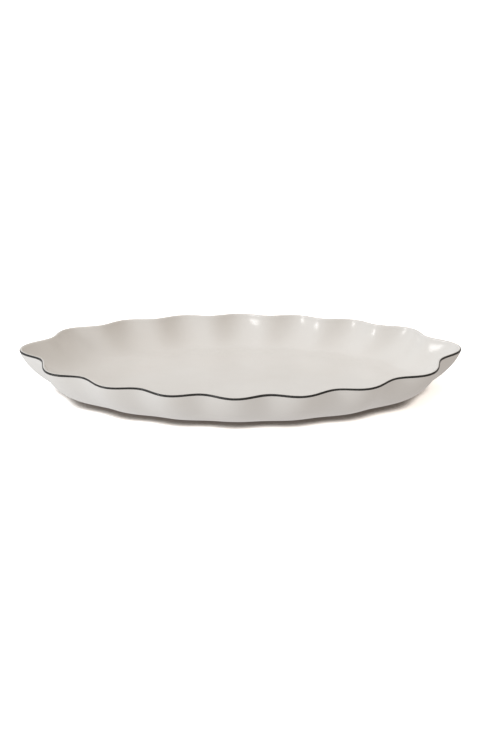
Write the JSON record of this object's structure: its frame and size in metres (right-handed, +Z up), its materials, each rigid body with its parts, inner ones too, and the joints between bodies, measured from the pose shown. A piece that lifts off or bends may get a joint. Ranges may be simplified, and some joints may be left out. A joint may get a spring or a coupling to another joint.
{
  "type": "oval serving platter",
  "caption": "Large oval serving platter of glossy white china with a fluted wall, gently pointed ends and a dark line painted round its thin lip.",
  "frame": {"origin": "on the ground plane under the middle of the platter's bounding box", "axes": "+X along the platter's length, +Y across it away from the side the picture is taken from, +Z up out of the well"},
  "size_m": [0.4058, 0.2424, 0.0387],
  "materials": {
    "china": "fired, unglazed, hidden under the glaze",
    "bare_foot": "matt, unglazed, ground flat",
    "white_glaze": "glossy warm white",
    "dark_line": "glossy charcoal, painted by hand"
  },
  "bodies": {
    "root": {"porcelain_body": "china", "foot_ring": "bare_foot", "inside_glaze": "white_glaze", "outside_glaze": "white_glaze", "base_glaze": "white_glaze", "rim_band": "dark_line"}
  },
  "joints": []
}
